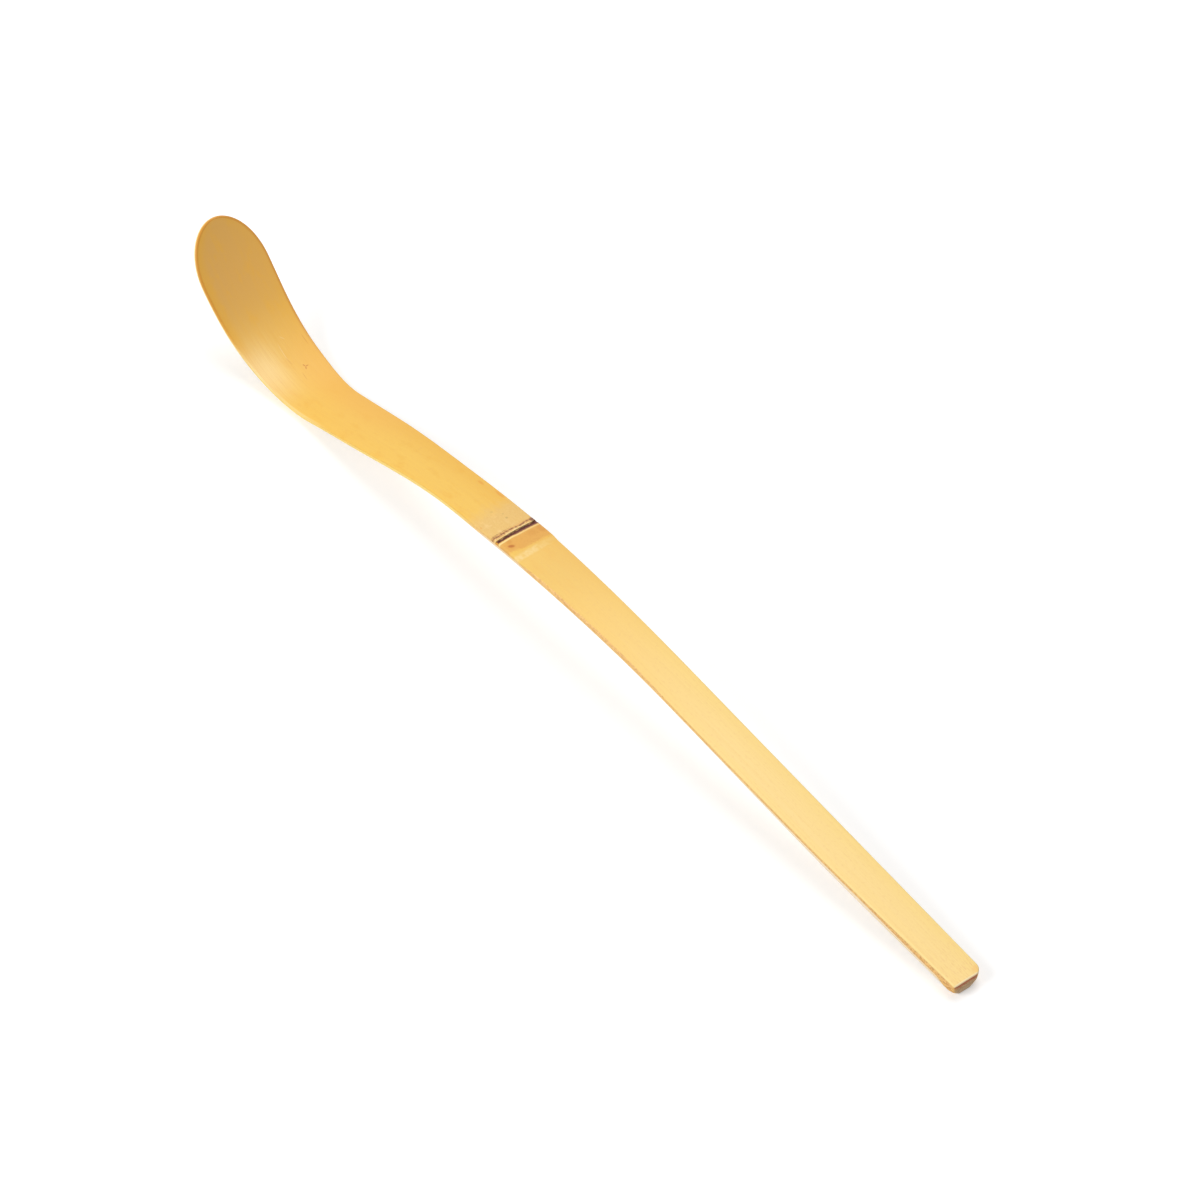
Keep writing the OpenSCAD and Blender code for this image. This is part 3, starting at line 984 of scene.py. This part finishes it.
# %% Bloom and rim
def bloomed(b, x, y, past, colour):
    cloud = noise(b, x * 0.7, y * 0.9, 3.0, 4.0, 0.6)
    weave = noise(b, x * 3.0, y * 4.0, 6.0, 3.0, 0.7)
    bloom = (past + (cloud - 0.5) * 5.0).smooth(8.0, 3.6)
    pale = cloud.smooth(0.52, 0.68) * y.smooth(1.5, -1.5)
    colour = laid(
        b, colour,
        (bloom * (0.7 + cloud * 0.3), bloom_beige),
        (bloom * weave.smooth(0.52, 0.7, 0.0, 0.34), wall_brown),
        (bloom * weave.smooth(0.47, 0.32, 0.0, 0.4), torn_cream),
        (pale * bloom * 0.6, torn_cream),
    )
    return colour, bloom, weave


def torn_rim(b, x, y, past, colour):
    wander = (noise(b, 1.0, y * 1.3, 14.0, 3.0, 0.6) - 0.5) * 0.4
    ragged = noise(b, x * 1.6, y * 2.2, 31.0, 3.0, 0.7)
    frayed = (past + wander).smooth(1.0, 0.75)
    strips = frayed * past.smooth(0.0, 0.08) * (past + wander).smooth(0.5, 0.35)
    breaks = noise(b, 4.0, y * 1.9, 21.0, 2.0).smooth(0.4, 0.5, 0.3, 1.0)
    sag = y.smooth(-0.4, 0.8) * y.smooth(2.3, 1.4) * 0.14
    hair = (past + wander + sag).between(0.42, 0.72, 0.08) * breaks
    second = (past - wander * 0.8).between(0.9, 1.02, 0.07) * y.smooth(0.0, -1.6)
    threads = noise(b, x, y * 7.0, 41.0, 2.0).smooth(0.5, 0.6)
    threads = threads * y.smooth(0.8, -2.0, 0.15, 0.7)
    colour = laid(
        b, colour,
        (frayed * 0.55, wall_brown),
        (strips * ragged.smooth(0.5, 0.56) * 0.9, torn_cream),
        (past.smooth(0.16, 0.06) * ragged.smooth(0.35, 0.5, 0.55, 1.0), bloom_and_highlight_cream),
        (hair * 0.95, fibre_brown),
        (second * ragged.smooth(0.42, 0.5) * 0.6, fibre_brown),
        (threads * past.between(0.3, 1.1, 0.2), fibre_brown),
    )
    return colour, hair


# %% [markdown]
# ## Scoop and bend
# The scoop's rim is amber with a brown line just inside the edge. The near half of the bend has
# a painted highlight in pale cream, and its near edge a brighter painted highlight line. The bend
# carries fine scratches along the strip, the pale ones partly painted highlight, the clearest of
# them drawn one by one, and one small brown mark made of three strokes.

# %% Scoop and bend
brown_mark = [
    ((156.07, 2.04), 0.13, 0.95, 2.6, 90.0), ((155.8, 1.67), 0.13, 0.95, 2.6, 23.0),
    ((156.35, 1.7), 0.13, 0.95, 2.6, -12.0),
]
pale_scratches = [((159.9, 0.28), 0.07, 0.4, 30.0, 4.8), ((162.0, 1.58), 0.07, 0.4, 8.0, -36.0)]
brown_scratches = [
    ((160.1, 4.5), 0.07, 0.35, 18.0, 0.0), ((158.1, 0.2), 0.07, 0.35, 14.0, -4.0),
    ((154.6, 0.56), 0.07, 0.35, 14.0, 8.0),
]


def scoop_tones(b, x, y, edge, colour):
    on_scoop = x.smooth(150.0, 164.0)
    glow = on_scoop * edge.smooth(2.4, 0.3) * y.smooth(1.0, -3.5, 0.3, 1.0)
    round_tip = x.smooth(162.0, 172.0, 0.2, 1.0).most(y.smooth(0.0, 2.0))
    # painted highlight along the near edge of the bend
    near_edge_highlight = x.between(145.0, 162.0, 4.0) * edge.smooth(0.4, 0.15) * y.smooth(0.0, -2.0)
    return laid(
        b, colour,
        (glow * 0.8, amber),
        (on_scoop * edge.smooth(0.58, 0.2) * round_tip * 0.8, rim_brown),
        # painted highlight on the near half of the bend
        (x.between(154.0, 162.0, 4.0) * y.smooth(1.0, -3.5) * 0.4, bloom_and_highlight_cream),
        (near_edge_highlight * 0.7, wear_and_highlight_yellow),
    )


def bend_marks(b, x, y, colour):
    fine = noise(b, x * 0.12, y * 9.0, 17.0, 2.0)
    bent = x.between(153.0, 163.0, 4.0) * y.smooth(3.0, -3.0, 0.3, 1.0)
    return laid(
        b, colour,
        (marks(b, x, y, brown_mark), mark_brown),
        # pale streaks: scratches along the bend, drawn pale as painted highlight
        (fine.smooth(0.54, 0.64) * bent * 0.22, wear_and_highlight_yellow),
        (fine.smooth(0.46, 0.36) * bent * 0.26, burnt_orange),
        (x.between(134.0, 158.0, 8.0) * y.smooth(-2.0, 3.0, 0.15, 0.5), honey_orange),
        (marks(b, x, y, pale_scratches), worn_white),
        (marks(b, x, y, brown_scratches), mark_brown),
    )


# %% [markdown]
# ## The scoop's skin
# This skin takes all of these in turn, with a dark spot at the scar's far end that is partly
# residue and partly painted shade in a notch, a few olive specks and short orange streaks. The near
# half of the bend is polished.

# %% Lower skin
notch_place = (scar_end + 0.25, 3.55)
olive_specks = [((3.0, 0.71), 0.25, 0.4), ((4.03, 0.81), 0.2, 0.2), ((5.4, -0.2), 0.3, 0.14)]
orange_streaks = [
    ((113.3, 2.85), 0.3, 0.5, 3.0), ((109.3, 3.3), 0.35, 0.5, 4.0), ((105.1, -3.4), 0.16, 0.5, 1.5),
]


def make_lower_skin():
    material, b = finish_bench("lower_skin")
    x, y, z, edge = grain_places(b)
    past = x - scar_end
    colour, fibres = plain_skin(b, x, y)
    colour, bloom, weave = bloomed(b, x, y, past, colour)
    colour, hair = torn_rim(b, x, y, past, colour)
    colour = laid(
        b, colour,
        # dark spot at the scar's far end: partly residue, partly painted shade of a notch
        (spot(b, x, y, notch_place, 0.75, 1.2) * 0.85, maroon),
        (marks(b, past, y, olive_specks), olive),
        (marks(b, x, y, orange_streaks), streak_orange),
    )
    colour = scoop_tones(b, x, y, edge, colour)
    colour, _ = side_wall(b, x, y, z, edge, colour)
    colour = bend_marks(b, x, y, colour)
    polish = x.between(154.5, 162.5, 4.0) * y.smooth(0.5, -3.5)
    rough = 0.47 + fibres * 0.12 + bloom * 0.12 + z.smooth(0.2, 0.4) * 0.1 - polish * 0.08
    height = fibres + weave * bloom * 0.6 - hair
    output(b, colour, rough, height, bump=0.35, coat=0.05 + polish * 0.4)
    return material


lower_skin = make_lower_skin()
print("lower skin has", len(lower_skin.node_tree.nodes), "nodes")

# %% [markdown]
# ## Flesh, node wood and scar
# The flesh is pale and soft, with brown vessel bundles that show as long dashes on the shaved
# faces and as dots on the cut end, which is scorched under the skin. In the node the fibres
# cross, so its wood is mottled. The scar is dark cork, with pale strands of the sheath in it.

# %% Flesh
def cut_end(b, y, z):
    places = {"Vector": b.joined(0.0, y * 2.6, z * 2.6), "Scale": 1.0}
    dots = b.node("ShaderNodeTexVoronoi", None, places)["Distance"].smooth(0.28, 0.14)
    mottle = noise(b, 0.0, y * 2.2, z * 2.2, 4.0, 0.7)
    face = laid(
        b, end_grain,
        (mottle.smooth(0.35, 0.65), end_brown),
        (dots * 0.5, bundle_brown),
        (z.smooth(1.1, 2.2, 0.0, 0.6), end_grey),
        (z.smooth(1.0, 0.45) * 0.8, scorched),
        (y.smooth(-1.9, -2.6) * mottle.smooth(0.3, 0.6), wall_gold),
    )
    return face, dots


def make_flesh(name, crossed=False):
    material, b = finish_bench(name)
    x, y, z, edge = grain_places(b)
    dashes = noise(b, x * 0.09, y * 3.2, z * 3.2, 3.0, 0.6)
    grain = noise(b, x * (0.9 if crossed else 0.04), y * 2.0, z * 5.0, 4.0, 0.7)
    colour = laid(
        b, flesh_cream,
        (grain.smooth(0.35, 0.7, 0.0, 0.6), flesh_tan),
        (dashes.smooth(0.6, 0.68, 0.0, 0.55) * z.smooth(1.5, 2.2), bundle_brown),
    )
    thick = x.smooth(grip_length, neck_place, grip_thickness, neck_thickness)
    thick = thick - x.smooth(neck_place, strip_length, 0.0, neck_thickness - tip_thickness)
    wall, streaks = side_wall(b, x, y, z, edge, colour)
    foot_gap = x.smooth(140.0, 152.0, -0.2, -0.06)
    on_side = (z - thick - foot_gap).smooth(0.07, 0.0) * edge.smooth(1.0, 0.6)
    face, dots = cut_end(b, y, z)
    on_cut = x.smooth(0.1, 0.04)
    colour = laid(b, colour, (on_side, wall), (on_cut, face))
    output(b, colour, 0.6 + streaks * 0.15, grain + dashes * 0.5 - on_cut * dots, bump=0.45)
    return material


bamboo_flesh = make_flesh("bamboo_flesh")
node_wood = make_flesh("node_wood", crossed=True)


def make_scar_cork():
    material, b = finish_bench("scar_cork")
    x, y, z, _ = grain_places(b)
    cork = noise(b, x * 5.0, y * 2.5, z * 6.0, 4.0, 0.7)
    reach = noise(b, 2.0, y * 1.4, 51.0, 4.0, 0.65).smooth(0.4, 0.62, 0.52, 0.7)
    strands = (x - scar_place - reach).smooth(0.0, 0.06)
    colour = laid(
        b, cork_black,
        (cork.smooth(0.35, 0.65), maroon),
        (strands * 0.9, strand_brown),
        (y.smooth(-3.4, -3.55), knot_orange),
    )
    output(b, colour, 0.85, cork + strands, bump=0.7)
    return material


scar_cork = make_scar_cork()
for finish in (bamboo_flesh, node_wood, scar_cork):
    print(finish.name, "has", len(finish.node_tree.nodes), "nodes")

# %% [markdown]
# ## The layers
# The flesh comes first, in three zones that meet at the node, because the fibres run straight in
# the two internodes and cross between them in the node. The skins lie on top. Each flat end
# closes on one point inside its layer, as deep as its `core`.

# %% Loft all layers
skin_core, scar_core, flesh_core, scoop_core = 0.2, 0.27, 1.2, 0.8
handle_stations = handle_stations + [band_start]
node_stations = steps(band_start, scar_end, 0.4) + [scar_end]
band_stations = band_stations + [scar_place]
scar_stations = steps(scar_place, scar_end, 0.05) + [scar_end]


def lofted(name, stations, core, lanes, finish, rise=None):
    rows = [row(s, rise(s) if rise else 0.0, core) for s in stations]
    return layer(name, capped(rows, tip=stations is not scoop_stations), lanes, finish)


handle_flesh = lofted("Handle_flesh", handle_stations, flesh_core, flesh_lanes, bamboo_flesh)
node_flesh = lofted("Node_flesh", node_stations, flesh_core, flesh_lanes, node_wood)
scoop_flesh = lofted("Scoop_flesh", scoop_stations, scoop_core, flesh_lanes, bamboo_flesh)
handle_skin = lofted("Handle_skin", handle_stations, skin_core, skin_lanes, upper_skin)
node_band = lofted("Node_band", band_stations, skin_core, skin_lanes, node_tissue, band_rise)
sheath_scar = lofted("Sheath_scar", scar_stations, scar_core, scar_lanes, scar_cork)
scoop_skin = lofted("Scoop_skin", scoop_stations, skin_core, skin_lanes, lower_skin, rim_rise)

# %% [markdown]
# ## What stands for what
# Each layer stands for the CAD node of the same name, which is hidden, and rides on the one
# body.

# %% Ride and replace
pieces = [
    (handle_flesh, "handle_flesh", "bamboo_flesh"), (node_flesh, "node_flesh", "node_wood"),
    (scoop_flesh, "scoop_flesh", "bamboo_flesh"), (handle_skin, "handle_skin", "upper_skin"),
    (node_band, "node_band", "node_tissue"), (sheath_scar, "sheath_scar", "scar_cork"),
    (scoop_skin, "scoop_skin", "lower_skin"),
]
for piece, node, slot in pieces:
    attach(piece, "root")
    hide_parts(node)
print(len(pieces), "layers stand for", len(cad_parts), "CAD nodes")

# %% [markdown]
# ## The table
# The table is white. To the camera it also glows, so that it keeps only a faint shadow.

# %% Floor
table_half = 3
table_white, table_glow = 0.82, 0.38
corners = [(-1, -1), (1, -1), (1, 1), (-1, 1)]
floor_mesh = bpy.data.meshes.new("Floor")
floor_mesh.from_pydata([(x * table_half, y * table_half, 0) for x, y in corners], [], [range(4)])
floor = bpy.data.objects.new("Floor", floor_mesh)
bpy.context.scene.collection.objects.link(floor)
floor_finish, b = finish_bench("Table")
matt = b.node("ShaderNodeBsdfDiffuse", None, {"Color": (table_white,) * 3 + (1.0,)})
seen = b.node("ShaderNodeEmission", None, {"Color": (1, 1, 1, 1), "Strength": table_glow})
camera_ray = b.node("ShaderNodeLightPath")["Is Camera Ray"]
nothing = b.node("ShaderNodeEmission", None, {"Strength": 0.0})
lift = b.node("ShaderNodeMixShader", None, {0: camera_ray, 1: nothing[0], 2: seen[0]})
total = b.node("ShaderNodeAddShader", None, {0: matt[0], 1: lift[0]})
b.node("ShaderNodeOutputMaterial", None, {"Surface": total[0]})
floor_mesh.materials.append(floor_finish)
print("table", 2 * table_half, "m wide")

# %% [markdown]
# ## Lamps and studio
# One large lamp hangs above and a little behind the scoop, where the polished bend mirrors it, and
# a smaller one lights the near wall. The studio looks white and fills in with a weaker light.

# %% Lamps and world
def lamp(name, direction, distance, size, watts):
    data = bpy.data.lights.new(name, "AREA")
    data.shape, data.size, data.energy = "DISK", size, watts
    thing = bpy.data.objects.new(name, data)
    aim = Vector(direction).normalized()
    thing.location = aim * distance
    thing.rotation_euler = aim.to_track_quat("Z", "Y").to_euler()
    bpy.context.scene.collection.objects.link(thing)
    print(name, "at", [round(c, 2) for c in thing.location])


lamp("Softbox_above", (-0.25, 0.42, 0.87), distance=1.0, size=0.9, watts=4.9)
lamp("Softbox_near", (-0.15, -0.8, 0.55), distance=1.0, size=0.6, watts=5.4)

fill_strength, shown_strength = 0.32, 1.0
world = bpy.data.worlds.new("Studio")
bpy.context.scene.world = world
world.use_nodes = True
world.node_tree.nodes.clear()
b = Bench(world.node_tree)
ray = b.node("ShaderNodeLightPath")
shown = ray["Is Camera Ray"].most(ray["Is Glossy Ray"]).most(ray["Is Transmission Ray"])
fill = b.node("ShaderNodeBackground", None, {"Color": (1, 1, 1, 1), "Strength": fill_strength})
white = b.node("ShaderNodeBackground", None, {"Color": (1, 1, 1, 1), "Strength": shown_strength})
both = b.node("ShaderNodeMixShader", None, {0: shown, 1: fill[0], 2: white[0]})
b.node("ShaderNodeOutputWorld", None, {"Surface": both[0]})
bpy.context.scene.view_settings.view_transform = "Standard"
